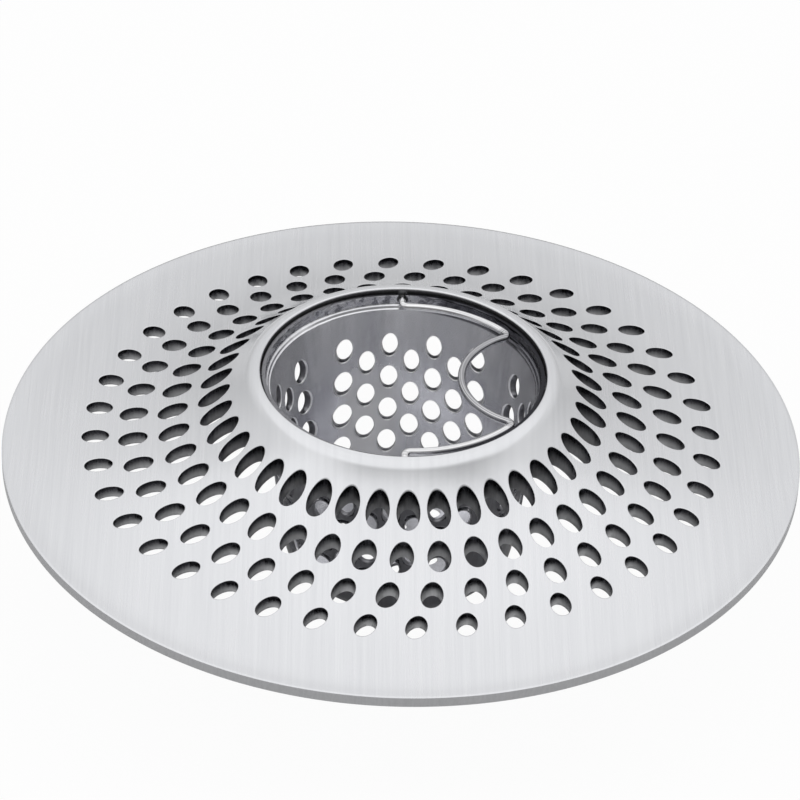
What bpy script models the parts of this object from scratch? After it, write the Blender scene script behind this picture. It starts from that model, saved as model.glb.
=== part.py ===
"""Bathtub hair catcher in pressed stainless steel: a dished plate full of holes, a perforated basket
that hangs in the plate's raised mouth, and the basket's wire bail.

Metres, +Z up. The plate's rim lies on the tub floor, which is the plane z = 0. The bail turns about
the Y axis and lies folded towards +X. The front is -Y.
"""

import math

import bmesh
import bpy

# Plate: a round sheet whose flare climbs from the flat rim to the mouth.
PLATE_DIAMETER = 0.114
PLATE_SHEET = 0.0015
RIM_LAND = 0.0025
RIM_SEGMENTS = 80

# The flare's slope is 45 degrees at FLARE_RADIUS and fades outwards over FLARE_FADE.
FLARE_RADIUS = 0.0231
FLARE_FADE = 0.012

# Mouth: a rolled lip, a straight bore, and a narrow seat turned in at the bore's foot.
MOUTH_RADIUS = 0.0203
LIP_ROLL = 0.0008
COLLAR_WALL = 0.0009
SEAT_DEPTH = 0.0008

# Plate holes: four rings of slots, stretched along the slope as the sheet was drawn up.
# Each ring: radius of the holes' centres, width across, length along the slope, first hole's angle.
PLATE_HOLES_PER_RING = 40
PLATE_RINGS = (
    (0.0437, 0.00315, 0.00395, 2.2),
    (0.0384, 0.0033, 0.0043, 5.7),
    (0.0327, 0.00335, 0.0048, -0.5),
    (0.0268, 0.0033, 0.0055, 1.2),
)
PLATE_WEB = 0.0003

# Basket: a drawn cup with a wider band on top, which a sloping shoulder joins to the wall.
# The wall leans in by WALL_TAPER per height on its way down to the rounded foot.
# It hangs in the mouth, so its heights are counted from the bail's pivots, and theirs from the lip.
BASKET_SHEET = 0.0005
BASKET_CLEARANCE = 0.00025
SEAT_CLEARANCE = 0.0003
SHOULDER_STEP = 0.0007
PIVOT_BELOW_LIP = 0.0016
BAND_ABOVE_PIVOT = 0.00105
WALL_TAPER = 0.1
FLOOR_BELOW_PIVOT = 0.031
BASKET_CORNER = 0.004
CORNER_STEPS = 3

# Basket holes: punched straight in from four sides, so the columns of a side stay parallel.
# Every second column is half a pitch lower and has one hole less. A side has as many columns as
# leave WALL_STRIP of plain wall at the next side, and as many rows as end above the foot.
WALL_FIRST_SIDE = 85.0
WALL_SIDES = 4
WALL_STRIP = 0.0004
WALL_COLUMN_PITCH = 0.00323
WALL_ROW_PITCH = 0.0054
TOP_HOLES_BELOW_PIVOT = 0.0072
WALL_HOLE_WIDTH = 0.0027
WALL_HOLE_HEIGHT = 0.0037

# Floor holes: a middle hole and rings around it. FLOOR_MARGIN is from the foot's round to the
# outermost centres, and FLOOR_HOLE_PITCH is from one hole to the next along a ring.
FLOOR_HOLE_DIAMETER = 0.0028
FLOOR_MARGIN = 0.0029
FLOOR_RING_PITCH = 0.0048
FLOOR_HOLE_PITCH = 0.0051
FLOOR_WEB = 0.0009

# Bail: one bent wire. Its ends turn out through two holes in the basket's band.
WIRE_DIAMETER = 0.0011
WIRE_CLEARANCE = 0.00025
WIRE_END_MARGIN = 0.0001
END_BEND = 0.0009
LEG_CENTRE = (0.0008, -0.0012)
LEG_CLEARANCE = 0.0002
CORNER_BEND = 0.0009
DIP_RADIUS = 0.0113
WIRE_REST_GAP = 0.0003
CUTTER_SIDES = 16

HOLE_CORNERS = 8
SHARP_ANGLE = math.radians(35)
WELD_DIGITS = 7

PLATE_RADIUS = PLATE_DIAMETER / 2
FLARE_EDGE_RADIUS = PLATE_RADIUS - RIM_LAND
COLLAR_RADIUS = MOUTH_RADIUS + COLLAR_WALL
BAND_RADIUS = MOUTH_RADIUS - BASKET_CLEARANCE
BAND_INSIDE = BAND_RADIUS - BASKET_SHEET
WALL_RADIUS = BAND_RADIUS - SHOULDER_STEP
WIRE_RADIUS = WIRE_DIAMETER / 2
LEG_RADIUS = BAND_INSIDE - LEG_CLEARANCE - WIRE_RADIUS


class Sheet:
    """A thin sheet as one closed mesh. Each corner is a pair of vertices, one on either skin."""

    def __init__(self):
        self.bm = bmesh.new()
        self.pairs = {}

    def corner(self, outside, inside):
        """The pair of vertices at these two points; a corner met before is used again."""
        key = tuple(round(value, WELD_DIGITS) for value in (*outside, *inside))
        if key not in self.pairs:
            self.pairs[key] = (self.bm.verts.new(outside), self.bm.verts.new(inside))
        return self.pairs[key]

    def panel(self, *corners):
        """One face on each skin, given counter-clockwise as seen from outside."""
        self.bm.faces.new([pair[0] for pair in corners])
        self.bm.faces.new([pair[1] for pair in reversed(corners)])

    def edge(self, corners):
        """The sheet's cut edge along a closed loop of corners."""
        for first, second in zip(corners, corners[1:] + corners[:1]):
            self.bm.faces.new((first[0], first[1], second[1], second[0]))

    def finish(self, name, material):
        """The object made of this sheet, with its faces pointing out."""
        bmesh.ops.recalc_face_normals(self.bm, faces=self.bm.faces[:])
        return object_from(self.bm, name, material)


def object_from(bm, name, material):
    """A mesh object in the scene, smooth but for its sharp edges."""
    mesh = bpy.data.meshes.new(name)
    bm.to_mesh(mesh)
    bm.free()
    mesh.shade_smooth()
    mesh.set_sharp_from_angle(angle=SHARP_ANGLE)
    mesh.materials.append(material)
    obj = bpy.data.objects.new(name, mesh)
    bpy.context.scene.collection.objects.link(obj)
    return obj


def steel(name, colour, roughness):
    """A stainless steel of this grey and polish."""
    material = bpy.data.materials.new(name)
    material.use_nodes = True
    shader = material.node_tree.nodes["Principled BSDF"]
    shader.inputs["Base Color"].default_value = (*colour, 1.0)
    shader.inputs["Roughness"].default_value = roughness
    shader.inputs["Metallic"].default_value = 1.0
    return material


def around(radius, angle, z):
    """The point at this radius and height, at an angle in degrees from the front towards +X."""
    turn = math.radians(angle)
    return (radius * math.sin(turn), -radius * math.cos(turn), z)


def oval(centre_angle, centre, half_angle, half_length):
    """Corners of an oval hole, as (angle, distance) pairs, starting at its lower right."""
    turns = [2 * math.pi * (k + 0.5) / HOLE_CORNERS for k in range(HOLE_CORNERS)]
    return [(centre_angle + half_angle * math.sin(t), centre + half_length * math.cos(t)) for t in turns]


def punched_cell(sheet, place, angles, span, hole, split_sides=False):
    """A patch of the sheet between two angles and two distances, with a hole in it.

    place(angle, distance) gives the corner there. With split_sides the patch also meets a corner
    halfway along each straight side, where a staggered neighbour has one.
    """
    left, right = angles
    near, far = span
    middle = (near + far) / 2
    rim = [place(*point) for point in hole]
    side_right = [place(right, far)] + [place(right, middle)] * split_sides + [place(right, near)]
    side_left = [place(left, near)] + [place(left, middle)] * split_sides + [place(left, far)]
    sheet.panel(rim[0], rim[7], side_left[-1], side_right[0])
    sheet.panel(rim[1], rim[0], side_right[0])
    sheet.panel(rim[2], rim[1], *side_right)
    sheet.panel(rim[3], rim[2], side_right[-1])
    sheet.panel(rim[4], rim[3], side_right[-1], side_left[0])
    sheet.panel(rim[5], rim[4], side_left[0])
    sheet.panel(rim[6], rim[5], *side_left)
    sheet.panel(rim[7], rim[6], side_left[-1])
    sheet.edge(rim)


def zip_rings(sheet, outer, inner):
    """A strip between two rings of (angle, corner) pairs, which may differ in count and phase."""
    first = inner[0][0]
    start = min(range(len(outer)), key=lambda k: abs((outer[k][0] - first + 180) % 360 - 180))
    outer = outer[start:] + outer[:start]
    nearest = outer[0][0]
    offset = first + (nearest - first + 180) % 360 - 180
    outer = [(offset + (angle - nearest) % 360, corner) for angle, corner in outer]
    outer.append((offset + 360, outer[0][1]))
    inner = [(first + (angle - first) % 360, corner) for angle, corner in inner]
    inner.append((first + 360, inner[0][1]))
    i = j = 0
    while i < len(outer) - 1 or j < len(inner) - 1:
        step_outer = j == len(inner) - 1 or (i < len(outer) - 1 and outer[i + 1][0] <= inner[j + 1][0])
        if step_outer:
            sheet.panel(outer[i][1], outer[i + 1][1], inner[j][1])
            i += 1
        else:
            sheet.panel(outer[i][1], inner[j + 1][1], inner[j][1])
            j += 1


def ring(place, angles, distance):
    """A ring of (angle, corner) pairs at one distance."""
    return [(angle, place(angle, distance)) for angle in angles]


def section_ring(sheet, angles, outside, inside):
    """A ring of (angle, corner) pairs from one (radius, z) point on each skin."""
    corners = []
    for angle in angles:
        skins = (around(outside[0], angle, outside[1]), around(inside[0], angle, inside[1]))
        corners.append((angle, sheet.corner(*skins)))
    return corners


def even_angles(count, first=0.0):
    """Angles that divide the full turn, in degrees."""
    return [first + 360 * k / count for k in range(count)]


def flare_slope(radius):
    """How steeply the plate climbs towards its mouth at this radius."""
    return math.exp((FLARE_RADIUS - radius) / FLARE_FADE)


def plate_top(radius):
    """Height of the plate's upper skin at this radius, outside the lip."""
    rise = FLARE_FADE * (flare_slope(radius) - flare_slope(FLARE_EDGE_RADIUS))
    return PLATE_SHEET + max(0.0, rise)


def plate_corner(sheet):
    """Places a corner of the plate's sheet at an angle and a radius, square to the slope."""

    def place(angle, radius):
        slope = flare_slope(radius) if radius < FLARE_EDGE_RADIUS else 0.0
        down = PLATE_SHEET / math.hypot(1, slope)
        top = plate_top(radius)
        inward = radius - down * slope
        return sheet.corner(around(radius, angle, top), around(inward, angle, top - down))

    return place


def lip_centre_z():
    """Height of the centre of the lip's roll, which the flare meets at 45 degrees."""
    meeting = MOUTH_RADIUS + LIP_ROLL * (1 + math.sqrt(0.5))
    return plate_top(meeting) - LIP_ROLL * math.sqrt(0.5)


def pivot_z():
    """Height of the bail's axis."""
    return lip_centre_z() + LIP_ROLL - PIVOT_BELOW_LIP


def floor_z():
    """Height of the underside of the basket's floor."""
    return pivot_z() - FLOOR_BELOW_PIVOT


def shoulder_offset():
    """Height less radius, along the inside of the basket's 45-degree shoulder.

    The folded bail's corners come to rest over it, at their widest.
    """
    widest = BAND_INSIDE - WIRE_CLEARANCE - WIRE_RADIUS
    return pivot_z() - math.sqrt(2) * (WIRE_RADIUS + WIRE_REST_GAP) - widest


def collar_section():
    """Pairs of (radius, z) points, upper skin and lower skin, from the flare's top to the seat."""
    lip_radius = MOUTH_RADIUS + LIP_ROLL
    lip_z = lip_centre_z()
    half = math.sqrt(0.5)
    seat_offset = shoulder_offset() - math.sqrt(2) * (BASKET_SHEET + SEAT_CLEARANCE)
    seat_radius = WALL_RADIUS + SEAT_CLEARANCE
    seat_inner_z = seat_radius + seat_offset
    foot_z = seat_inner_z - SEAT_DEPTH
    under_z = plate_top(COLLAR_RADIUS + PLATE_SHEET * half) - PLATE_SHEET * half
    step = (under_z - foot_z) / 4
    return (
        ((lip_radius + LIP_ROLL * half, lip_z + LIP_ROLL * half), (COLLAR_RADIUS, under_z)),
        ((lip_radius, lip_z + LIP_ROLL), (COLLAR_RADIUS, under_z - step)),
        ((lip_radius - LIP_ROLL * half, lip_z + LIP_ROLL * half), (COLLAR_RADIUS, under_z - 2 * step)),
        ((MOUTH_RADIUS, lip_z), (COLLAR_RADIUS, under_z - 3 * step)),
        ((MOUTH_RADIUS, MOUTH_RADIUS + seat_offset), (COLLAR_RADIUS, foot_z)),
        ((seat_radius, seat_inner_z), (seat_radius, foot_z)),
    )


def build_plate():
    """The dished plate: rim, four rings of holes, and the rolled mouth with its seat."""
    sheet = Sheet()
    place = plate_corner(sheet)
    rim = ring(place, even_angles(RIM_SEGMENTS), PLATE_RADIUS)
    last = ring(place, even_angles(RIM_SEGMENTS), FLARE_EDGE_RADIUS)
    zip_rings(sheet, rim, last)
    sheet.edge([corner for _, corner in rim])
    pitch = 360 / PLATE_HOLES_PER_RING
    for radius, width, length, first in PLATE_RINGS:
        half_length = length / 2 / math.hypot(1, flare_slope(radius))
        half_angle = math.degrees(width / 2 / radius)
        span = (radius - half_length - PLATE_WEB, radius + half_length + PLATE_WEB)
        for centre in even_angles(PLATE_HOLES_PER_RING, first):
            hole = oval(centre, radius, half_angle, half_length)
            punched_cell(sheet, place, (centre - pitch / 2, centre + pitch / 2), span, hole)
        edges = even_angles(PLATE_HOLES_PER_RING, first - pitch / 2)
        zip_rings(sheet, last, ring(place, edges, span[1]))
        last = ring(place, edges, span[0])
    angles = [angle for angle, _ in last]
    for pair in collar_section():
        following = section_ring(sheet, angles, *pair)
        zip_rings(sheet, last, following)
        last = following
    sheet.edge([corner for _, corner in last])
    return sheet.finish("strainer_plate", steel("satin_steel_plate", (0.62, 0.62, 0.64), 0.3))


def wall_radius(z):
    """Outer radius of the basket's wall at this height."""
    shoulder_foot = WALL_RADIUS + shoulder_offset() - math.sqrt(2) * BASKET_SHEET
    return WALL_RADIUS - WALL_TAPER * (shoulder_foot - z)


def foot_centre():
    """Radius and height of the centre of the round between the wall and the floor."""
    lean = math.atan(WALL_TAPER)
    centre_z = floor_z() + BASKET_CORNER
    tangent_radius = wall_radius(centre_z - BASKET_CORNER * math.sin(lean))
    return tangent_radius - BASKET_CORNER * math.cos(lean), centre_z


def wall_levels():
    """Heights half a row's pitch apart, from the top of the upper row's cells to the lowest row's foot."""
    first = pivot_z() - TOP_HOLES_BELOW_PIVOT + WALL_ROW_PITCH / 2
    rows = int((first - foot_centre()[1]) / WALL_ROW_PITCH)
    return [first - k * WALL_ROW_PITCH / 2 for k in range(2 * rows + 1)]


def wall_columns():
    """How many columns of holes each side has: the greatest odd number that fits its narrow foot."""
    narrowest = wall_radius(wall_levels()[-1]) - BASKET_SHEET
    width = 2 * narrowest * math.sin(math.pi / WALL_SIDES) - WALL_STRIP
    return 2 * int((width / WALL_COLUMN_PITCH + 1) / 2) - 1


def wall_corner(sheet, side):
    """Places a corner of the wall at a height, and at a distance across from the side's middle.

    Both skins have the same distance across, because the side was punched straight in.
    """

    def place(across, z):
        radii = (wall_radius(z), wall_radius(z) - BASKET_SHEET)
        skins = [around(radius, side + math.degrees(math.asin(across / radius)), z) for radius in radii]
        return sheet.corner(*skins)

    return place


def strip_corner(sheet, angle, z):
    """A corner on one of the wall's plain strips, at an angle and a height."""
    radius = wall_radius(z)
    return sheet.corner(around(radius, angle, z), around(radius - BASKET_SHEET, angle, z))


def build_side(sheet, side, levels):
    """One punched side of the basket's wall.

    Returns its left and right edges, each as a list of corners from the top down.
    """
    place = wall_corner(sheet, side)
    half_width = WALL_HOLE_WIDTH / 2
    columns = wall_columns()
    for column in range(columns):
        middle = (column - (columns - 1) / 2) * WALL_COLUMN_PITCH
        left, right = middle - WALL_COLUMN_PITCH / 2, middle + WALL_COLUMN_PITCH / 2
        lower = column % 2
        row = 0
        while row < len(levels) - 1:
            punched = lower <= row < len(levels) - 1 - lower
            step = 2 if punched else 1
            top, bottom = levels[row], levels[row + step]
            if punched:
                hole = oval(middle, (top + bottom) / 2, half_width, WALL_HOLE_HEIGHT / 2)
                punched_cell(sheet, place, (left, right), (bottom, top), hole, split_sides=True)
            else:
                sheet.panel(place(left, top), place(left, bottom), place(right, bottom), place(right, top))
            row += step
    edge = columns * WALL_COLUMN_PITCH / 2
    return [place(-edge, z) for z in levels], [place(edge, z) for z in levels]


def build_wall(sheet, levels):
    """The basket's wall: its punched sides, and the plain strips between them."""
    sides = [WALL_FIRST_SIDE + 360 * k / WALL_SIDES for k in range(WALL_SIDES)]
    edges = [build_side(sheet, side, levels) for side in sides]
    for k, side in enumerate(sides):
        middle = [strip_corner(sheet, side + 180 / WALL_SIDES, z) for z in levels]
        following = edges[(k + 1) % WALL_SIDES][0]
        for left, right in ((edges[k][1], middle), (middle, following)):
            for row in range(len(levels) - 1):
                sheet.panel(left[row], left[row + 1], right[row + 1], right[row])


def wall_ring(sheet, z):
    """The ring of (angle, corner) pairs where the wall ends at this height."""
    corners = []
    radius = wall_radius(z)
    columns = wall_columns()
    for k in range(WALL_SIDES):
        side = WALL_FIRST_SIDE + 360 * k / WALL_SIDES
        place = wall_corner(sheet, side)
        for column in range(columns + 1):
            across = (column - columns / 2) * WALL_COLUMN_PITCH
            corners.append((side + math.degrees(math.asin(across / radius)), place(across, z)))
        diagonal = side + 180 / WALL_SIDES
        corners.append((diagonal, strip_corner(sheet, diagonal, z)))
    return corners


def floor_corner(sheet):
    """Places a corner of the basket's floor at an angle and a radius."""

    def place(angle, radius):
        top = floor_z() + BASKET_SHEET
        return sheet.corner(around(radius, angle, floor_z()), around(radius, angle, top))

    return place


def build_floor(sheet, last):
    """The perforated floor, inwards from the ring of corners that ends the wall's round."""
    place = floor_corner(sheet)
    hole_radius = FLOOR_HOLE_DIAMETER / 2
    cell = hole_radius + FLOOR_WEB
    radius = foot_centre()[0] - FLOOR_MARGIN
    while radius > 2 * cell:
        count = int(2 * math.pi * radius / FLOOR_HOLE_PITCH)
        pitch = 360 / count
        half_angle = math.degrees(hole_radius / radius)
        span = (radius - cell, radius + cell)
        for centre in even_angles(count):
            hole = oval(centre, radius, half_angle, hole_radius)
            punched_cell(sheet, place, (centre - pitch / 2, centre + pitch / 2), span, hole)
        edges = even_angles(count, -pitch / 2)
        zip_rings(sheet, last, ring(place, edges, span[1]))
        last = ring(place, edges, span[0])
        radius -= FLOOR_RING_PITCH
    middle = ring(place, [angle for angle, _ in last], hole_radius)
    zip_rings(sheet, last, middle)
    sheet.edge([corner for _, corner in middle])


def band_section():
    """Pairs of (radius, z) points, outer skin and inner skin, from the band's top to the shoulder's foot."""
    wall_inside = WALL_RADIUS - BASKET_SHEET
    band_top = pivot_z() + BAND_ABOVE_PIVOT
    inner_offset = shoulder_offset()
    outer_offset = inner_offset - math.sqrt(2) * BASKET_SHEET
    return (
        ((BAND_RADIUS, band_top), (BAND_INSIDE, band_top)),
        ((BAND_RADIUS, BAND_RADIUS + outer_offset), (BAND_INSIDE, BAND_INSIDE + inner_offset)),
        ((WALL_RADIUS, WALL_RADIUS + outer_offset), (wall_inside, wall_inside + inner_offset)),
    )


def foot_section():
    """Pairs of (radius, z) points, outer skin and inner skin, round the foot from the wall to the floor."""
    lean = math.atan(WALL_TAPER)
    centre_radius, centre_z = foot_centre()
    section = []
    for step in range(CORNER_STEPS + 1):
        turn = lean + (math.pi / 2 - lean) * step / CORNER_STEPS
        bends = (BASKET_CORNER, BASKET_CORNER - BASKET_SHEET)
        section.append([(centre_radius + r * math.cos(turn), centre_z - r * math.sin(turn)) for r in bends])
    return section


def build_basket():
    """The basket: band, shoulder, perforated wall, rounded foot and perforated floor."""
    sheet = Sheet()
    levels = wall_levels()
    wall_top = wall_ring(sheet, levels[0])
    wall_end = wall_ring(sheet, levels[-1])
    band_angles = [angle for angle, _ in wall_top]
    foot_angles = [angle for angle, _ in wall_end]
    band = [section_ring(sheet, band_angles, *pair) for pair in band_section()] + [wall_top]
    foot = [wall_end] + [section_ring(sheet, foot_angles, *pair) for pair in foot_section()]
    sheet.edge([corner for _, corner in band[0]])
    for upper, lower in [*zip(band, band[1:]), *zip(foot, foot[1:])]:
        zip_rings(sheet, upper, lower)
    build_wall(sheet, levels)
    build_floor(sheet, foot[-1])
    basket = sheet.finish("strainer_basket", steel("satin_steel_basket", (0.5, 0.5, 0.53), 0.25))
    pivot_hole = basket.modifiers.new("pivot_holes", "BOOLEAN")
    pivot_hole.object = pivot_cutter()
    return basket


def pivot_cutter():
    """A hidden rod along the bail's axis, which cuts the two pivot holes in the basket's band."""
    bm = bmesh.new()
    radius = WIRE_RADIUS + WIRE_CLEARANCE
    bmesh.ops.create_cone(
        bm,
        cap_ends=True,
        segments=CUTTER_SIDES,
        radius1=radius,
        radius2=radius,
        depth=2 * (MOUTH_RADIUS + COLLAR_WALL),
    )
    cutter = object_from(bm, "pivot_cutter", steel("cutter", (0.5, 0.5, 0.5), 0.5))
    cutter.rotation_euler = (math.radians(90), 0, 0)
    cutter.location = (0, 0, pivot_z())
    cutter.hide_render = True
    cutter.display_type = "WIRE"
    return cutter


def arc(centre, radius, start, end, steps):
    """Points along an arc, the short way round from the start point to the end point."""
    first = math.atan2(start[1] - centre[1], start[0] - centre[0])
    swing = math.atan2(end[1] - centre[1], end[0] - centre[0]) - first
    swing = (swing + math.pi) % (2 * math.pi) - math.pi
    turns = [first + swing * k / steps for k in range(steps + 1)]
    return [(centre[0] + radius * math.cos(t), centre[1] + radius * math.sin(t)) for t in turns]


def towards(start, end, distance):
    """The point at this distance from the start, on the line through the end."""
    scale = distance / math.dist(start, end)
    return (start[0] + (end[0] - start[0]) * scale, start[1] + (end[1] - start[1]) * scale)


def upper_crossing(first, first_radius, second, second_radius):
    """Where two circles cross, on the side of the greater y."""
    gap = math.dist(first, second)
    along = (first_radius**2 - second_radius**2 + gap**2) / (2 * gap)
    across = math.sqrt(first_radius**2 - along**2)
    foot = towards(first, second, along)
    side_x = (second[1] - first[1]) / gap
    side_y = (second[0] - first[0]) / gap
    return (foot[0] - across * side_x, foot[1] + across * side_y)


def bail_path():
    """The wire's centre line in its own plane: ends, legs, tight corners, and the dip between them."""
    dip_centre = (BAND_INSIDE, 0.0)
    reach = math.sqrt((LEG_RADIUS + END_BEND) ** 2 - (END_BEND - LEG_CENTRE[0]) ** 2)
    end_bend = (END_BEND, LEG_CENTRE[1] + reach)
    corner = upper_crossing(LEG_CENTRE, LEG_RADIUS - CORNER_BEND, dip_centre, DIP_RADIUS + CORNER_BEND)
    leg_start = towards(LEG_CENTRE, end_bend, LEG_RADIUS)
    leg_end = towards(LEG_CENTRE, corner, LEG_RADIUS)
    dip_start = towards(dip_centre, corner, DIP_RADIUS)
    half = [(0.0, BAND_RADIUS - WIRE_END_MARGIN)]
    half += arc(end_bend, END_BEND, (0.0, end_bend[1]), leg_start, 4)
    half += arc(LEG_CENTRE, LEG_RADIUS, leg_start, leg_end, 8)[1:]
    half += arc(corner, CORNER_BEND, leg_end, dip_start, 5)[1:]
    half += arc(dip_centre, DIP_RADIUS, dip_start, (BAND_INSIDE - DIP_RADIUS, 0.0), 7)[1:]
    return half + [(x, -y) for x, y in reversed(half[:-1])]


def build_bail():
    """The wire bail, with its origin on the axis through its two ends."""
    points = bail_path()
    curve = bpy.data.curves.new("bail", "CURVE")
    curve.dimensions = "3D"
    curve.bevel_depth = WIRE_RADIUS
    curve.bevel_resolution = 2
    curve.use_fill_caps = True
    spline = curve.splines.new("POLY")
    spline.points.add(len(points) - 1)
    for point, (x, y) in zip(spline.points, points):
        point.co = (x, y, 0.0, 1.0)
    curve.materials.append(steel("bright_steel_wire", (0.75, 0.75, 0.77), 0.12))
    bail = bpy.data.objects.new("wire_bail", curve)
    bail.location = (0, 0, pivot_z())
    bpy.context.scene.collection.objects.link(bail)
    return bail


def main():
    for obj in list(bpy.data.objects):
        bpy.data.objects.remove(obj)
    build_plate()
    basket = build_basket()
    bail = build_bail()
    bail.parent = basket


main()
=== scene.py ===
from collections import namedtuple
import math

import bmesh
import bpy
from mathutils import Matrix, Vector


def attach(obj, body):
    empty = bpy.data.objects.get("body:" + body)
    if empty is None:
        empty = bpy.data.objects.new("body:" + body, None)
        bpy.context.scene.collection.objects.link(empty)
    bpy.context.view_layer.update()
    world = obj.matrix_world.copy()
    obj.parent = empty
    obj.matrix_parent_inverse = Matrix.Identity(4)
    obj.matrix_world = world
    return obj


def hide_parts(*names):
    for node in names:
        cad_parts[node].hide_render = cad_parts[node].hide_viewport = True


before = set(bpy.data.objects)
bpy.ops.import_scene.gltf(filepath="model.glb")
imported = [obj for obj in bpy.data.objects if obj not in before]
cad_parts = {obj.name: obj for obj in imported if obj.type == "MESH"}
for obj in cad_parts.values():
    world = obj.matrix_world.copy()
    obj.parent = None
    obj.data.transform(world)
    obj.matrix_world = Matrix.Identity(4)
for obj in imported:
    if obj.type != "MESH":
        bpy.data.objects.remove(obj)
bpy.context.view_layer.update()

# The plate: one disc of 1.5 mm stainless sheet, brushed one way while it was flat, punched with
# four rings of holes that leave collars underneath, and pressed up into a flare. The mouth is
# rolled over and polished, and a narrow seat at its foot carries the basket.
HoleRing = namedtuple("HoleRing", "radius width length lean collar first near far")

plate_radius = 0.057
plate_sheet = 0.0015
rim_start = 0.0545
rim_steps = (0.0475, 0.049, 0.051, 0.053, rim_start, 0.0557, 0.0566, plate_radius)
flare_radius = 0.0231
flare_fade = 0.012
throat_start = 0.0227
throat_steps = (0.0237, 0.0232, throat_start)
crown_start = 0.0226
crown_end = 0.0209
crown_lean = 8.0
crown_steps = 16
mouth_radius = 0.0203
lip_roll = 0.0003
lip_angles = range(80, 181, 10)
neck_wall = 0.0009
neck_steps = (0.0222, 0.0217)
seat_radius = 0.01965
seat_foot = 0.01055
seat_depth = 0.0008
holes_round = 40
hole_border = 0.0002
cell_faces = (9, 7)
grid_start = 0.7
collar_fade = 0.00035
plate_rings = (
    HoleRing(0.0437, 0.00297, 0.004, 0.17, 0.0006, 2.2, 0.0411, 0.0464),
    HoleRing(0.0384, 0.00312, 0.0043, 0.13, 0.0008, 5.7, 0.0356, 0.0411),
    HoleRing(0.0327, 0.00328, 0.00475, 0.075, 0.00085, -0.5, 0.02976, 0.0356),
    HoleRing(0.02682, 0.00325, 0.00562, 0.01, 0.0009, 1.2, 0.0242, 0.02976),
)
plate_bevel = 0.00004
bore_end = 0.02036
holes_start = 0.0235
upright = 0.35

# Rings of holes are laid out flat first, with this length for each degree round the axis.
per_degree = 0.001
weld = 0.000001
same_place = 0.00002
sharp_angle = 50


def flare_slope(radius):
    """How steeply the plate climbs at this radius."""
    return math.exp((flare_radius - radius) / flare_fade)


def plate_height(radius):
    """Height of the plate's upper skin at this radius, outside the lip."""
    return plate_sheet + max(0.0, flare_fade * (flare_slope(radius) - flare_slope(rim_start)))


def plate_depth(radius):
    """How deep the plate's sheet is straight down, in thicknesses of the sheet."""
    return math.hypot(1, flare_slope(radius)) if radius < rim_start else 1.0


def plate_underside(radius):
    """Height of the plate's lower skin at this radius."""
    return plate_height(radius) - plate_sheet * plate_depth(radius)


def new_verts(made):
    """The vertices among the parts that an operator made."""
    return [part for part in made["geom"] if isinstance(part, bmesh.types.BMVert)]


def loop_edges(verts):
    """The edges that join these vertices to one another, each once and in a fixed order."""
    chosen = set(verts)
    return list(dict.fromkeys(
        edge for vert in verts for edge in vert.link_edges if edge.other_vert(vert) in chosen
    ))


def oval_point(offset, half_size):
    """Where a point on the edge of a square of two units goes on an oval of this half size."""
    if abs(offset.x) >= abs(offset.y):
        turn = math.pi / 4 * offset.y / offset.x + (math.pi if offset.x < 0 else 0)
    else:
        turn = math.pi / 2 - math.pi / 4 * offset.x / offset.y + (math.pi if offset.y < 0 else 0)
    return Vector((half_size[0] * math.cos(turn), half_size[1] * math.sin(turn), 0))


def punched_cell(bm, across, along, counts, centre, half_size, border, lean=0.0):
    """A flat rectangle with an oval hole. The narrow ring of faces round the hole gets material 1."""
    first = len(bm.verts)
    size = Vector((across[1] - across[0], along[1] - along[0], 0)) / 2
    middle = Vector((sum(across) / 2, sum(along) / 2, 0))
    grid = bmesh.ops.create_grid(bm, x_segments=counts[0], y_segments=counts[1], size=1)["verts"]
    inner = [vert for vert in grid if not vert.is_boundary]
    rings = [[vert for vert in grid if vert.is_boundary]]
    bmesh.ops.delete(bm, geom=inner, context="VERTS")
    for _ in range(3):
        made = bmesh.ops.extrude_edge_only(bm, edges=loop_edges(rings[-1]))
        rings.append(new_verts(made))
    for part in made["geom"]:
        if isinstance(part, bmesh.types.BMFace):
            part.material_index = 1
    for ring, share, grow in zip(rings, (0, 0.5, 1, 1), (0, border, border, 0)):
        for vert in ring:
            hole = oval_point(vert.co, [half + grow for half in half_size])
            hole = Vector((centre[0] + hole.x - lean * hole.y, centre[1] + hole.y, 0))
            vert.co = (middle + vert.co * size).lerp(hole, share)
    bm.verts.ensure_lookup_table()
    return bm.verts[first:]


def around(radius, angle, height=0.0):
    """The point at this radius and height, at an angle in degrees from the front towards +X."""
    turn = math.radians(angle)
    return Vector((radius * math.sin(turn), -radius * math.cos(turn), height))


def copied_round(bm, verts, count):
    """Repeats these vertices' faces round the object's axis, as many in all as count."""
    parts = list(dict.fromkeys(
        part for vert in verts for part in (vert, *vert.link_edges, *vert.link_faces)
    ))
    bmesh.ops.spin(
        bm, geom=parts, cent=(0, 0, 0), axis=(0, 0, 1), angle=2 * math.pi * (count - 1) / count,
        steps=count - 1, use_duplicate=True,
    )


def punched_ring(bm, ring, count, start, counts, slope=0.0):
    """A flat ring of sheet with this many holes, whose first cell starts at this angle in degrees."""
    half_angle = math.degrees(ring.width / 2 / ring.radius) * per_degree
    half_length = ring.length / 2 / math.hypot(1, slope)
    cell = punched_cell(
        bm, (start * per_degree, (start + 360 / count) * per_degree), (ring.near, ring.far), counts,
        (ring.first * per_degree, ring.radius), (half_angle, half_length), hole_border,
        ring.lean * half_angle / ring.width * ring.length / half_length,
    )
    for vert in cell:
        vert.co = around(vert.co.y, vert.co.x / per_degree)
    copied_round(bm, cell, count)


def distance_out(spot):
    """How far a vertex or a point lies from the object's axis."""
    point = getattr(spot, "co", spot)
    return math.hypot(point.x, point.y)


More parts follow.
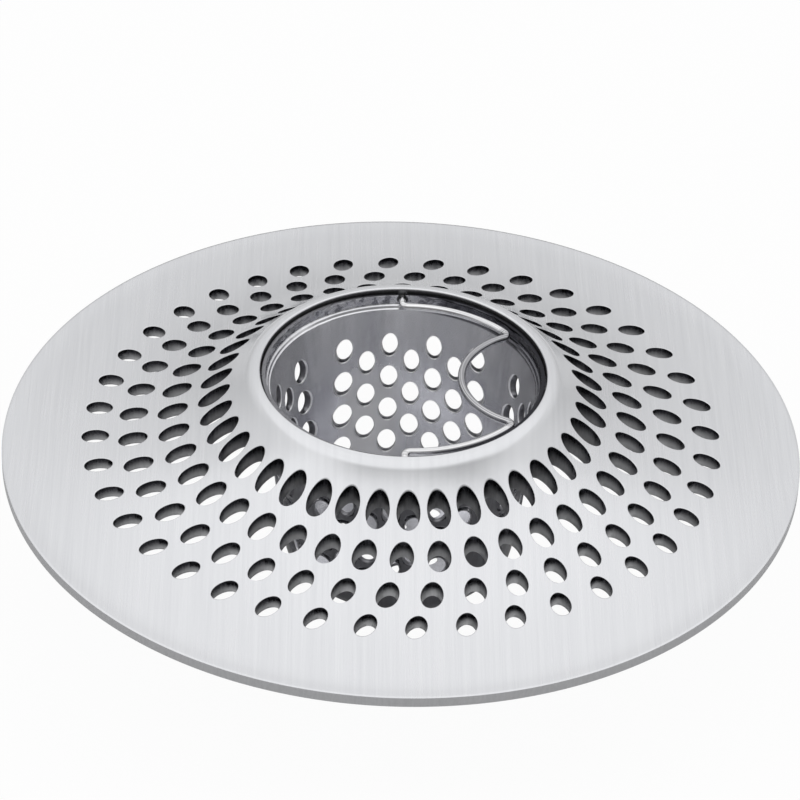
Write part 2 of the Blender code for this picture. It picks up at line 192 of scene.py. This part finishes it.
def open_ring(bm, radius, height=None):
    """The open edges that run round the object at this radius and height."""
    def there(vert):
        level = height is None or abs(vert.co.z - height) < same_place
        return level and abs(distance_out(vert) - radius) < same_place

    return [edge for edge in bm.edges if edge.is_boundary and all(there(vert) for vert in edge.verts)]


def face_up(bm):
    """Turns an open sheet's faces all to its upper side."""
    bmesh.ops.recalc_face_normals(bm, faces=bm.faces[:])
    if sum(face.normal.z for face in bm.faces) < 0:
        bmesh.ops.reverse_faces(bm, faces=bm.faces[:])


def raised(bm, faces, height):
    """Draws these faces up by this height, with walls round them."""
    made = bmesh.ops.extrude_face_region(bm, geom=faces)
    bmesh.ops.translate(bm, vec=(0, 0, height), verts=new_verts(made))


def drawn_along(bm, edges, profile):
    """Draws a ring of edges out along a profile of (radius, height) points and gives the last ring."""
    for radius, height in profile:
        verts = new_verts(bmesh.ops.extrude_edge_only(bm, edges=edges))
        for vert in verts:
            scale = radius / distance_out(vert)
            vert.co = (vert.co.x * scale, vert.co.y * scale, height)
        edges = loop_edges(verts)
    return edges


def bends(bm, least, most=180.0):
    """The edges where two faces meet at an angle in this range, in degrees."""
    low, high = math.radians(least), math.radians(most)
    return [edge for edge in bm.edges if edge.is_manifold and low < edge.calc_face_angle() < high]


def softened(bm, edges, width, steps):
    """Rounds off these edges."""
    bmesh.ops.bevel(
        bm, geom=edges, offset=width, offset_type="OFFSET", segments=steps, profile=0.5,
        affect="EDGES", material=-1, clamp_overlap=True,
    )


def finished(bm, name, body, node, slot, *materials):
    """Makes the piece an object that rides on its body and stands for its CAD node."""
    mesh = bpy.data.meshes.new(name)
    bm.to_mesh(mesh)
    bm.free()
    mesh.shade_smooth()
    mesh.set_sharp_from_angle(angle=math.radians(sharp_angle))
    for material in materials:
        mesh.materials.append(material)
    piece = bpy.data.objects.new(name, mesh)
    bpy.context.scene.collection.objects.link(piece)
    even = piece.modifiers.new("even_shading", "WEIGHTED_NORMAL")
    even.keep_sharp = True
    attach(piece, body)
    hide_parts(node)


class Value:
    """A number, colour or vector on its way through a material. Arithmetic on it adds Math nodes."""

    def __init__(self, nodes, socket):
        self.nodes = nodes
        self.socket = socket

    def beside(self, output):
        """Another output of the node that this value comes from."""
        return Value(self.nodes, self.socket.node.outputs[output])

    def maths(self, operation, *values):
        return self.nodes.add("ShaderNodeMath", {"operation": operation}, dict(enumerate(values)))

    def __add__(self, other):
        return self.maths("ADD", self, other)

    def __radd__(self, other):
        return self.maths("ADD", other, self)

    def __sub__(self, other):
        return self.maths("SUBTRACT", self, other)

    def __rsub__(self, other):
        return self.maths("SUBTRACT", other, self)

    def __mul__(self, other):
        return self.maths("MULTIPLY", self, other)

    def __rmul__(self, other):
        return self.maths("MULTIPLY", other, self)

    def __truediv__(self, other):
        return self.maths("DIVIDE", self, other)

    def __rtruediv__(self, other):
        return self.maths("DIVIDE", other, self)

    def __pow__(self, other):
        return self.maths("POWER", self, other)

    def __rpow__(self, other):
        return self.maths("POWER", other, self)


class Nodes:
    """The nodes of one material or world."""

    def __init__(self, tree):
        self.tree = tree

    def add(self, kind, settings, sockets, output=0):
        """A new node with these settings and sockets; gives the Value of one of its outputs."""
        node = self.tree.nodes.new(kind)
        for name, value in settings.items():
            setattr(node, name, value)
        for key, value in sockets.items():
            self.feed(node.inputs[key], value)
        return Value(self, node.outputs[output])

    def feed(self, socket, value):
        """Links a Value to a socket, or sets the socket to a plain number or colour."""
        if isinstance(value, Value):
            self.tree.links.new(value.socket, socket)
        else:
            socket.default_value = value

    def point(self, kind="Object"):
        """The point or direction that is being shaded."""
        return self.add("ShaderNodeTexCoord", {}, {}, kind)

    def parts(self, vector):
        """The x, y and z of a vector."""
        first = self.add("ShaderNodeSeparateXYZ", {}, {0: vector})
        return first, first.beside(1), first.beside(2)

    def grain(self, place, scale, detail=2.0, roughness=0.5):
        """Noise from 0 to 1, stretched by the inverse of scale, which counts waves per metre."""
        stretched = self.add("ShaderNodeVectorMath", {"operation": "MULTIPLY"}, {0: place, 1: scale})
        sockets = {"Vector": stretched, "Scale": 1.0, "Detail": detail, "Roughness": roughness}
        return self.add("ShaderNodeTexNoise", {}, sockets)

    def rise(self, value, low, high):
        """0 below low, 1 above high, and a smooth rise between. A low above high turns it round."""
        settings = {"interpolation_type": "SMOOTHSTEP"}
        if low < high:
            return self.add("ShaderNodeMapRange", settings, {0: value, 1: low, 2: high})
        return self.add("ShaderNodeMapRange", settings, {0: value, 1: high, 2: low, 3: 1.0, 4: 0.0})

    def blend(self, share, first, second):
        """The first colour where share is 0 and the second where it is 1."""
        sockets = {0: share}
        for key, colour in ((6, first), (7, second)):
            sockets[key] = colour if isinstance(colour, Value) else (*colour, 1.0)
        return self.add("ShaderNodeMix", {"data_type": "RGBA", "clamp_factor": True}, sockets, 2)

    def bump(self, height, strength, distance):
        """A normal bent by this height."""
        sockets = {"Height": height, "Strength": strength, "Distance": distance}
        return self.add("ShaderNodeBump", {}, sockets)


def steel(name):
    """A bare metal material, its nodes and its shader's sockets."""
    material = bpy.data.materials.new(name)
    material.use_nodes = True
    shader = material.node_tree.nodes["Principled BSDF"].inputs
    shader["Metallic"].default_value = 1.0
    return material, Nodes(material.node_tree), shader


satin, nodes, shader = steel("satin_sheet")
place = nodes.point()
out_x, out_y, _ = nodes.parts(place)
from_axis = (out_x * out_x + out_y * out_y) ** 0.5
polished = nodes.rise(from_axis, 0.0262, 0.0232)
scratches = nodes.grain(place, (4200, 70, 0), 3.0, 0.6)
bands = nodes.grain(place, (1300, 14, 0), 3.0)
clouds = nodes.grain(place, (55, 38, 55))
brushed = (scratches - 0.5) * (1 - 0.8 * polished)
nodes.feed(shader["Base Color"], nodes.blend(
    0.5 + 0.7 * (bands - 0.5) + 0.9 * brushed + 0.3 * (clouds - 0.5),
    (0.69, 0.697, 0.722),
    (0.81, 0.818, 0.838),
))
nodes.feed(shader["Roughness"], 0.25 + 0.16 * brushed + 0.08 * (clouds - 0.5) - 0.03 * polished)
nodes.feed(shader["Normal"], nodes.bump(brushed, 0.12, 0.00002))

punched, nodes, shader = steel("punched_wall")
place = nodes.point()
out_x, out_y, up = nodes.parts(place)
from_axis = (out_x * out_x + out_y * out_y) ** 0.5
climb = math.e ** ((flare_radius - from_axis) / flare_fade) - flare_slope(rim_start)
below_skin = plate_sheet + flare_fade * climb - up
rim_wall = nodes.rise(from_axis, 0.055, 0.0565)
# Depth below the upper skin: the torn lower part of each hole wall is rougher and lighter, and the
# upper part is painted shade.
tear_and_shade_depth = nodes.rise(below_skin, 0.0003, 0.0021) * (1 - rim_wall) + rim_wall
tears = nodes.grain(place, (3800, 3800, 700), 3.0)
# Painted shade: the hole walls are near black at the top of the sheet and lighten further down. The
# walls of the inner rings, nearest the collar, are painted darker still. Both stand in for the shade
# under the plate. The plate's cut rim is a plain, slightly darker grey.
nodes.feed(shader["Base Color"], nodes.blend(
    tear_and_shade_depth * (0.3 + 0.4 * nodes.rise(from_axis, 0.025, 0.036)) - 0.1 * rim_wall + 0.2 * (tears - 0.5),
    (0.035, 0.035, 0.042),
    (0.8, 0.805, 0.82),
))
nodes.feed(shader["Roughness"], 0.25 + 0.15 * tear_and_shade_depth + 0.15 * (tears - 0.5))
nodes.feed(shader["Normal"], nodes.bump(tears, 0.2, 0.00004))

bm = bmesh.new()
for ring in plate_rings:
    start = grid_start + round(ring.first - 180 / holes_round - grid_start)
    punched_ring(bm, ring, holes_round, start, cell_faces, flare_slope(ring.radius))
bmesh.ops.remove_doubles(bm, verts=bm.verts[:], dist=weld)
drawn_along(bm, open_ring(bm, plate_rings[0].far), [(radius, 0.0) for radius in rim_steps])
drawn_along(bm, open_ring(bm, plate_rings[-1].near), [(radius, 0.0) for radius in throat_steps])
face_up(bm)
bmesh.ops.solidify(bm, geom=bm.faces[:], thickness=plate_sheet)
inner_wall = [
    face for face in bm.faces
    if all(distance_out(vert) < throat_start + same_place for vert in face.verts)
]
bmesh.ops.delete(bm, geom=inner_wall, context="FACES_ONLY")
for ring in plate_rings:
    foot = [
        face for face in bm.faces
        if face.material_index == 1 and face.normal.z < -0.5
        and ring.near < distance_out(face.calc_center_median()) < ring.far
    ]
    raised(bm, foot, -ring.collar)
for vert in bm.verts:
    radius = distance_out(vert)
    depth = -vert.co.z
    if depth > plate_sheet + weld:
        depth -= collar_fade * max(0.0, -vert.co.x / radius)
    vert.co.z = plate_height(radius) - depth * plate_depth(radius)

steep, level = math.atan(flare_slope(crown_start)), math.radians(crown_lean)
stride = (crown_start - crown_end) / crown_steps
throat = [(crown_start, plate_height(crown_start))]
for step in range(crown_steps):
    along = (step + 0.5) / crown_steps
    lean = steep + (level - steep) * along * along * (3 - 2 * along)
    throat.append((throat[-1][0] - stride, throat[-1][1] + stride * math.tan(lean)))
lip_height = throat[-1][1] + (crown_end - mouth_radius - lip_roll) * math.tan(level) - lip_roll
for angle in lip_angles:
    turn = math.radians(angle)
    rolled_radius = mouth_radius + lip_roll * (1 + math.cos(turn))
    throat.append((rolled_radius, lip_height + lip_roll * math.sin(turn)))
neck_radius = mouth_radius + neck_wall
throat += [
    (mouth_radius, seat_foot + seat_depth + mouth_radius - seat_radius),
    (seat_radius, seat_foot + seat_depth),
    (seat_radius, seat_foot),
    (neck_radius, seat_foot),
]
under = [(radius, plate_underside(radius)) for radius in (*neck_steps, neck_radius)]
upper_ring = open_ring(bm, throat_start, plate_height(throat_start))
lower_ring = open_ring(bm, throat_start, plate_underside(throat_start))
ends = drawn_along(bm, upper_ring, throat) + drawn_along(bm, lower_ring, under)
bmesh.ops.bridge_loops(bm, edges=ends)
bmesh.ops.recalc_face_normals(bm, faces=bm.faces[:])
softened(bm, [edge for edge in bends(bm, 40) if edge.is_convex], plate_bevel, 1)
for face in bm.faces:
    reach = distance_out(face.calc_center_median())
    cut = reach < bore_end or reach > holes_start
    face.material_index = int(cut and abs(face.normal.z) < upright)
finished(bm, "plate", "plate", "strainer_plate", "satin_steel_plate", satin, punched)

# The basket: a cup drawn from 0.5 mm stainless sheet. Its wall tapers and was punched straight in
# from four sides, which rolls each hole's inner edge and leaves a collar outside. An upright band
# over a sloping shoulder holds the bail, and the shoulder hangs on the plate's seat.
basket_sheet = 0.0005
band_radius = 0.02005
band_foot = 0.012132
band_step = 0.0131
band_top = 0.01345
band_edge = 0.0133
shoulder_radius = 0.01935
shoulder_foot = 0.011472
shoulder_low = 0.0113
shoulder_high = 0.0127
shoulder_steps = ((0.0, 0.0), (0.00022, 0.0001), (0.00036, 0.00042), (0.00058, 0.00052))
shoulder_bevel = 0.00005
inner_drop = 0.00005
wall_taper = 0.1
wall_top = 0.0099
first_side = -5.0
sides_round = 4
side_stretch = 1.25
columns = 7
column_pitch = 0.00323
column_faces = 6
rows = 8
row_step = 0.0027
row_faces = 4
top_level = 0.008281
hole_height = 0.00375
hole_widths = (0.0023, 0.00255, 0.0027, 0.0027)
collar_width = 0.00017
collar_rise = 0.00035
hole_roll = 0.00015
foot_radius = 0.004
foot_centre = (0.012761, -0.014219)
foot_bends = (-5.7, -20, -34, -48, -62, -76, -90)
floor_hole = 0.0028
floor_middle = 0.0020
floor_rings = (
    (12, (6, 6), HoleRing(0.00986, floor_hole, floor_hole, 0, 0, 0, 0.00746, 0.01226)),
    (6, (12, 6), HoleRing(0.00506, floor_hole, floor_hole, 0, 0, 0, 0.00266, 0.00746)),
)
floor_edge = floor_rings[0][2].far
floor_height = foot_centre[1] - foot_radius
pivot_height = 0.0127813
pivot_hole = 0.0008
pivot_rod = 0.045
pivot_faces = 32
basket_bevel = 0.00009


def wall_radius(height):
    """Radius of the wall's outer skin at this height."""
    return shoulder_radius - wall_taper * (shoulder_foot - height)


def joined(bm, other):
    """Adds the other mesh to this one."""
    mesh = bpy.data.meshes.new("joined")
    other.to_mesh(mesh)
    other.free()
    bm.from_mesh(mesh)
    bpy.data.meshes.remove(mesh)


def within(value, limit):
    """The value, held between this limit and its negative."""
    return max(-limit, min(limit, value))


drawn, nodes, shader = steel("drawn_sheet")
place = nodes.point()
out_x, out_y, up = nodes.parts(place)
streaks = nodes.grain(place, (1500, 1500, 60), 3.0, 0.6)
shades = nodes.grain(place, (260, 260, 30))
waves = nodes.grain(place, (260, 260, 420))
band = nodes.rise(up, 0.0118, 0.0122)
spots = 0.75 * band * nodes.rise(nodes.grain(place, (900, 900, 900)), 0.48, 0.6)
# Painted shade: the band and shoulder are painted near black on the +X side, where the folded bail
# lies against them. This stands in for the shade between the bail and the plate's lip.
bail_side_shade = nodes.rise(up, 0.0110, 0.0113) * nodes.rise(out_x + 0.006 * (shades - 0.5), 0.0005, 0.007)
# Painted light: a pale, rough, mostly non-metallic patch low on the inside wall, left of the back. It
# stands in for light reflected into the cup.
painted_light_patch = nodes.rise(out_y + 0.005 * waves, 0.012, 0.0185) * nodes.rise(up, 0.004, -0.006)
painted_light_patch = painted_light_patch * nodes.rise(out_x, -0.0095, -0.0065) * nodes.rise(out_x, 0.002, -0.0035)
streaked = 0.5 + 0.8 * (streaks - 0.5) + 1.2 * (shades - 0.5)
colour = nodes.blend(streaked, (0.66, 0.66, 0.69), (0.92, 0.925, 0.955))
colour = nodes.blend(spots, colour, (0.2, 0.2, 0.23))
colour = nodes.blend(0.9 * bail_side_shade, colour, (0.10, 0.10, 0.115))
colour = nodes.blend(painted_light_patch, colour, (0.95, 0.95, 0.97))
nodes.feed(shader["Base Color"], colour)
nodes.feed(shader["Roughness"], 0.24 - 0.08 * band + 0.12 * (streaks - 0.5) + 0.5 * painted_light_patch)
nodes.feed(shader["Metallic"], 1 - 0.8 * painted_light_patch)
nodes.feed(shader["Normal"], nodes.bump(waves * (1 + 5 * band) + 0.2 * streaks, 0.3, 0.00014))

# Painted shade: the basket's outer skin and underside get a far darker steel than its inside. This
# stands in for the shade under the plate.
shaded_outside, nodes, shader = steel("drawn_sheet_outside")
place = nodes.point()
streaks = nodes.grain(place, (1500, 1500, 60), 3.0, 0.6)
waves = nodes.grain(place, (300, 300, 300))
nodes.feed(shader["Base Color"], nodes.blend(streaks, (0.10, 0.10, 0.11), (0.24, 0.24, 0.26)))
nodes.feed(shader["Roughness"], 0.2 + 0.14 * (streaks - 0.5))
nodes.feed(shader["Normal"], nodes.bump(waves + 0.2 * streaks, 0.5, 0.0002))

sheared, nodes, shader = steel("sheared_edge")
place = nodes.point()
out_x, _, up = nodes.parts(place)
tears = nodes.grain(place, (2600, 2600, 500), 3.0)
# Painted shade: the top edge of the band is painted near black on the +X side, beside the painted
# shade on the band.
band_top_shade = nodes.rise(up, 0.0129, 0.0131) * nodes.rise(out_x, -0.013, -0.001)
light = (0.48 + 0.52 * tears) * (1 - band_top_shade)
nodes.feed(shader["Base Color"], nodes.blend(light, (0.03, 0.03, 0.036), (0.30, 0.30, 0.32)))
nodes.feed(shader["Roughness"], 0.3 + 0.2 * (tears - 0.5))
nodes.feed(shader["Normal"], nodes.bump(tears, 0.25, 0.00004))

rolled, nodes, shader = steel("rolled_edge")
tears = nodes.grain(nodes.point(), (2600, 2600, 500), 3.0)
nodes.feed(shader["Base Color"], nodes.blend(tears, (0.86, 0.86, 0.88), (0.96, 0.96, 0.97)))
nodes.feed(shader["Roughness"], 0.4 + 0.2 * (tears - 0.5))

levels = [top_level - row_step * row for row in range(rows + 1)]
bm = bmesh.new()
for column in range(columns):
    middle = (column - columns // 2) * column_pitch
    across = (middle - column_pitch / 2, middle + column_pitch / 2)
    lower = column % 2
    for row in range(lower, rows - lower, 2):
        half_size = (hole_widths[row // 2] / 2, hole_height / 2)
        punched_cell(
            bm, across, (levels[row + 2], levels[row]), (column_faces, 2 * row_faces),
            (middle, levels[row + 1]), half_size, collar_width,
        )
    for row in (0, rows - 1) if lower else ():
        spot = Matrix.Translation((middle, (levels[row] + levels[row + 1]) / 2, 0))
        size = Matrix.Diagonal((column_pitch / 2, row_step / 2, 1, 1))
        bmesh.ops.create_grid(
            bm, x_segments=column_faces, y_segments=row_faces, size=1, matrix=spot @ size,
        )
bmesh.ops.remove_doubles(bm, verts=bm.verts[:], dist=weld)
face_up(bm)
bmesh.ops.solidify(bm, geom=bm.faces[:], thickness=basket_sheet)
bmesh.ops.translate(bm, vec=(0, 0, basket_sheet), verts=bm.verts[:])
side_end = columns / 2 * column_pitch - weld
edge_walls = [
    face for face in bm.faces
    if all(abs(vert.co.x) > side_end for vert in face.verts)
    or all(vert.co.y > levels[0] - weld for vert in face.verts)
    or all(vert.co.y < levels[-1] + weld for vert in face.verts)
]
bmesh.ops.delete(bm, geom=edge_walls, context="FACES_ONLY")
collars = [face for face in bm.faces if face.material_index == 1 and face.normal.z > 0.5]
raised(bm, collars, collar_rise)
bm.normal_update()
inner_edges = [
    edge for edge in bends(bm, 60) if all(abs(vert.co.z) < weld for vert in edge.verts)
]
softened(bm, inner_edges, hole_roll, 3)
# The rolls lie between the inner skin, which faces straight down here, and the holes' walls.
for face in bm.faces:
    if -0.99 < face.normal.z < -0.1:
        face.material_index = 3
    else:
        face.material_index = int(face.material_index == 1 and face.normal.z > -0.1)
side_edges = [
    edge for edge in bm.edges
    if edge.is_boundary and all(abs(vert.co.x) > side_end for vert in edge.verts)
]
made = bmesh.ops.extrude_edge_only(bm, edges=side_edges)
bmesh.ops.scale(bm, vec=(side_stretch, 1, 1), verts=new_verts(made))
for vert in bm.verts:
    across, height, depth = vert.co
    radius = wall_radius(height) - basket_sheet + depth
    turn = math.degrees(math.asin(within(across / radius, 1.0)))
    vert.co = around(radius, first_side + within(turn, 180 / sides_round), height)
copied_round(bm, bm.verts[:], sides_round)
bmesh.ops.remove_doubles(bm, verts=bm.verts[:], dist=weld)

floor_bm = bmesh.new()
for count, faces, ring in floor_rings:
    punched_ring(floor_bm, ring, count, -180 / count, faces)
bmesh.ops.remove_doubles(floor_bm, verts=floor_bm.verts[:], dist=weld)
inner_ring = open_ring(floor_bm, floor_rings[-1][2].near)
drawn_along(floor_bm, inner_ring, [(floor_middle, 0.0), (floor_hole / 2, 0.0)])
face_up(floor_bm)
bmesh.ops.solidify(floor_bm, geom=floor_bm.faces[:], thickness=basket_sheet)
bmesh.ops.translate(floor_bm, vec=(0, 0, floor_height + basket_sheet), verts=floor_bm.verts[:])
edge_walls = [
    face for face in floor_bm.faces
    if all(distance_out(vert) > floor_edge - same_place for vert in face.verts)
]
bmesh.ops.delete(floor_bm, geom=edge_walls, context="FACES_ONLY")
for face in floor_bm.faces:
    face.material_index = 0
joined(bm, floor_bm)

band_ends = []
for depth, drop in ((0.0, 0.0), (basket_sheet, inner_drop)):
    shoulder = [(wall_radius(wall_top) - depth, wall_top)]
    for out, lift in shoulder_steps:
        shoulder.append((shoulder_radius + out - depth, shoulder_foot + lift - drop))
    for height in (band_foot - drop, band_step, band_top):
        shoulder.append((band_radius - depth, height))
    upper_ring = open_ring(bm, wall_radius(top_level) - depth, top_level)
    band_ends += drawn_along(bm, upper_ring, shoulder)
    foot = []
    for angle in foot_bends:
        turn, reach = math.radians(angle), foot_radius - depth
        foot.append((foot_centre[0] + reach * math.cos(turn), foot_centre[1] + reach * math.sin(turn)))
    lower_ring = open_ring(bm, wall_radius(levels[-1]) - depth, levels[-1])
    foot_end = drawn_along(bm, lower_ring, foot)
    bmesh.ops.bridge_loops(bm, edges=foot_end + open_ring(bm, floor_edge, floor_height + depth))
bmesh.ops.bridge_loops(bm, edges=band_ends)
bmesh.ops.recalc_face_normals(bm, faces=bm.faces[:])
shoulder_bends = [
    edge for edge in bends(bm, 30, 70)
    if all(shoulder_low < vert.co.z < shoulder_high for vert in edge.verts)
    and abs(edge.verts[0].co.z - edge.verts[1].co.z) < same_place
]
softened(bm, shoulder_bends, shoulder_bevel, 2)

rod_bm = bmesh.new()
turned = Matrix.Translation((0, 0, pivot_height)) @ Matrix.Rotation(math.pi / 2, 4, "X")
bmesh.ops.create_cone(
    rod_bm, cap_ends=True, segments=pivot_faces, radius1=pivot_hole, radius2=pivot_hole,
    depth=pivot_rod, matrix=turned,
)
solids = []
for name, solid in (("uncut", bm), ("rod", rod_bm)):
    mesh = bpy.data.meshes.new(name)
    solid.to_mesh(mesh)
    solid.free()
    solids.append(bpy.data.objects.new(name, mesh))
    bpy.context.scene.collection.objects.link(solids[-1])
uncut, rod = solids
cut = uncut.modifiers.new("pivot_holes", "BOOLEAN")
cut.operation = "DIFFERENCE"
cut.solver = "EXACT"
cut.object = rod
bm = bmesh.new()
bm.from_object(uncut, bpy.context.evaluated_depsgraph_get())
for solid in solids:
    mesh = solid.data
    bpy.data.objects.remove(solid)
    bpy.data.meshes.remove(mesh)
softened(bm, [edge for edge in bends(bm, 62) if edge.is_convex], basket_bevel, 2)
# The band's top face takes material 1. Outward and downward faces take the painted-shade outer
# material.
for face in bm.faces:
    middle = face.calc_center_median()
    outward = face.normal.x * middle.x + face.normal.y * middle.y > 0.5 * distance_out(middle)
    if face.normal.z > 0.3 and middle.z > band_edge:
        face.material_index = 1
    elif face.material_index == 0 and (outward or face.normal.z < -0.5):
        face.material_index = 2
materials = (drawn, sheared, shaded_outside, rolled)
finished(bm, "basket", "basket", "strainer_basket", "satin_steel_basket", *materials)

# The bail: one bent piece of 1.1 mm bright stainless wire. Its two ends turn out through the holes
# in the basket's band and are the hinge, and the dip between its legs takes a fingertip.
wire_radius = 0.00055
wire_faces = 16
wire_end = 0.01995
wire_bevel = 0.00012
dip_centre, dip_radius = (0.01955, 0.0), 0.0113
corner_centre = (0.01401595, 0.01087264)
leg_centre = (0.0008, -0.0012)
end_centre = (0.0009, 0.01849975)


def bent(bm, edges, centre, degrees, steps):
    """Carries the wire's section round a bend and gives the edges it ends on."""
    made = bmesh.ops.spin(
        bm, geom=edges, cent=(*centre, pivot_height), axis=(0, 0, 1), angle=math.radians(degrees),
        steps=steps,
    )
    return [part for part in made["geom_last"] if isinstance(part, bmesh.types.BMEdge)]


def bearing(centre, point):
    """The direction from one point to another, in degrees from +X towards +Y."""
    return math.degrees(math.atan2(point[1] - centre[1], point[0] - centre[0]))


bright, nodes, shader = steel("bright_wire")
place = nodes.point()
out_x, out_y, up = nodes.parts(place)
draws = nodes.grain(place, (900, 900, 5200), 3.0)
from_dip = ((out_x - dip_centre[0]) * (out_x - dip_centre[0]) + out_y * out_y) ** 0.5
from_leg = ((out_x - leg_centre[0]) * (out_x - leg_centre[0]) + out_y * out_y) ** 0.5
dip_part = nodes.rise(from_dip, 0.0135, 0.0122)
wire_out = from_dip * dip_part + from_leg * (1 - dip_part)
section = nodes.add("ShaderNodeCombineXYZ", {}, {0: wire_out, 2: up})
# Dark stripes running along the wire: in part draw lines, and in part a painted reflection of dark
# surroundings.
draw_lines_and_reflections = nodes.rise(nodes.grain(section, (2400, 0, 2400)), 0.42, 0.58)
# The dip and its corners are darker than the legs.
light = 0.95 - 0.4 * dip_part - (0.3 + 0.4 * dip_part) * draw_lines_and_reflections + 0.1 * (draws - 0.5)
nodes.feed(shader["Base Color"], nodes.blend(light, (0.34, 0.34, 0.36), (0.92, 0.92, 0.93)))
nodes.feed(shader["Roughness"], 0.09 + 0.06 * (draws - 0.5))
nodes.feed(shader["Normal"], nodes.bump(draws, 0.08, 0.00003))

bm = bmesh.new()
apex = Matrix.Translation((dip_centre[0] - dip_radius, 0, pivot_height))
apex = apex @ Matrix.Rotation(math.pi / 2, 4, "X")
circle = bmesh.ops.create_circle(bm, segments=wire_faces, radius=wire_radius, matrix=apex)
dip_turn = bearing(dip_centre, corner_centre) - 180
leg_first, leg_last = bearing(leg_centre, corner_centre), bearing(leg_centre, end_centre)
edges = loop_edges(circle["verts"])
for centre, degrees, steps in (
    (dip_centre, dip_turn, 24),
    (corner_centre, leg_first - dip_turn, 14),
    (leg_centre, leg_last - leg_first, 20),
    (end_centre, -leg_last, 10),
):
    edges = bent(bm, edges, centre, degrees, steps)
end = new_verts(bmesh.ops.extrude_edge_only(bm, edges=edges))
bmesh.ops.translate(bm, vec=(0, wire_end - end[0].co.y, 0), verts=end)
bmesh.ops.contextual_create(bm, geom=loop_edges(end))
half = bm.verts[:] + bm.edges[:] + bm.faces[:]
bmesh.ops.mirror(bm, geom=half, axis="Y", merge_dist=weld)
bmesh.ops.recalc_face_normals(bm, faces=bm.faces[:])
softened(bm, bends(bm, 60), wire_bevel, 3)
finished(bm, "bail", "bail", "wire_bail", "bright_steel_wire", bright)

# The studio: a pale table just under the basket's foot, soft light all round that is strongest
# overhead, and a white background.
table_height = -0.0183
table_reach = 2.0
lights = (
    ("overhead", (0.0, -0.05, 1.1), 1.4, 0.2),
    ("left", (-0.8, -0.3, 0.7), 0.9, 0.12),
)
camera_place = (-0.013366, -0.478499, 0.355979)
camera_turns = (54.0346, -1.5457, -0.4332)
focal_length = 187.148

pale = bpy.data.materials.new("pale_table")
pale.use_nodes = True
tree = pale.node_tree
tree.nodes.remove(tree.nodes["Principled BSDF"])
nodes = Nodes(tree)
paper = nodes.add("ShaderNodeBsdfDiffuse", {}, {"Color": (0.8, 0.8, 0.8, 1.0)})
glow = nodes.add("ShaderNodeEmission", {}, {"Color": (1.0, 1.0, 1.0, 1.0), "Strength": 1.0})
seen = nodes.add("ShaderNodeLightPath", {}, {}, "Is Camera Ray")
mirrored, passed = seen.beside("Is Glossy Ray"), seen.beside("Is Transmission Ray")
glowing = 0.96 * seen + 0.1 * mirrored + 0.96 * passed
surface = nodes.add("ShaderNodeMixShader", {}, {0: glowing, 1: paper, 2: glow})
nodes.feed(tree.nodes["Material Output"].inputs["Surface"], surface)

bm = bmesh.new()
bmesh.ops.create_grid(bm, x_segments=1, y_segments=1, size=table_reach)
bmesh.ops.translate(bm, vec=(0, 0, table_height), verts=bm.verts[:])
mesh = bpy.data.meshes.new("floor")
bm.to_mesh(mesh)
bm.free()
mesh.materials.append(pale)
floor = bpy.data.objects.new("floor", mesh)
bpy.context.scene.collection.objects.link(floor)

studio = bpy.data.worlds.new("studio")
studio.use_nodes = True
bpy.context.scene.world = studio
nodes = Nodes(studio.node_tree)
sky = studio.node_tree.nodes["Background"].inputs
right, back, above = nodes.parts(nodes.point("Generated"))
seen = nodes.add("ShaderNodeLightPath", {}, {}, "Is Camera Ray")
dark_front = nodes.rise(back - 0.15 * right, -0.2, -0.6) * nodes.rise(above, 0.84, 0.74)
overhead = 0.20 * nodes.rise(above, 0.0, 0.5) + 0.21 * nodes.rise(above, 0.60, 0.67)
nodes.feed(sky["Color"], (1.0, 1.0, 1.0, 1.0))
nodes.feed(sky["Strength"], (0.62 + overhead - 0.52 * dark_front) * (1 - seen) + seen)

for name, position, size, watts in lights:
    lamp = bpy.data.lights.new(name, "AREA")
    lamp.shape = "SQUARE"
    lamp.size = size
    lamp.energy = watts
    lamp_object = bpy.data.objects.new(name, lamp)
    lamp_object.location = position
    lamp_object.rotation_euler = (-Vector(position)).to_track_quat("-Z", "Y").to_euler()
    bpy.context.scene.collection.objects.link(lamp_object)

bpy.context.scene.view_settings.view_transform = "Standard"

lens = bpy.data.cameras.new("camera")
lens.lens = focal_length
lens.sensor_width = 36.0
lens.clip_start = 0.01
camera = bpy.data.objects.new("camera", lens)
camera.location = camera_place
camera.rotation_euler = [math.radians(angle) for angle in camera_turns]
bpy.context.scene.collection.objects.link(camera)
bpy.context.scene.camera = camera
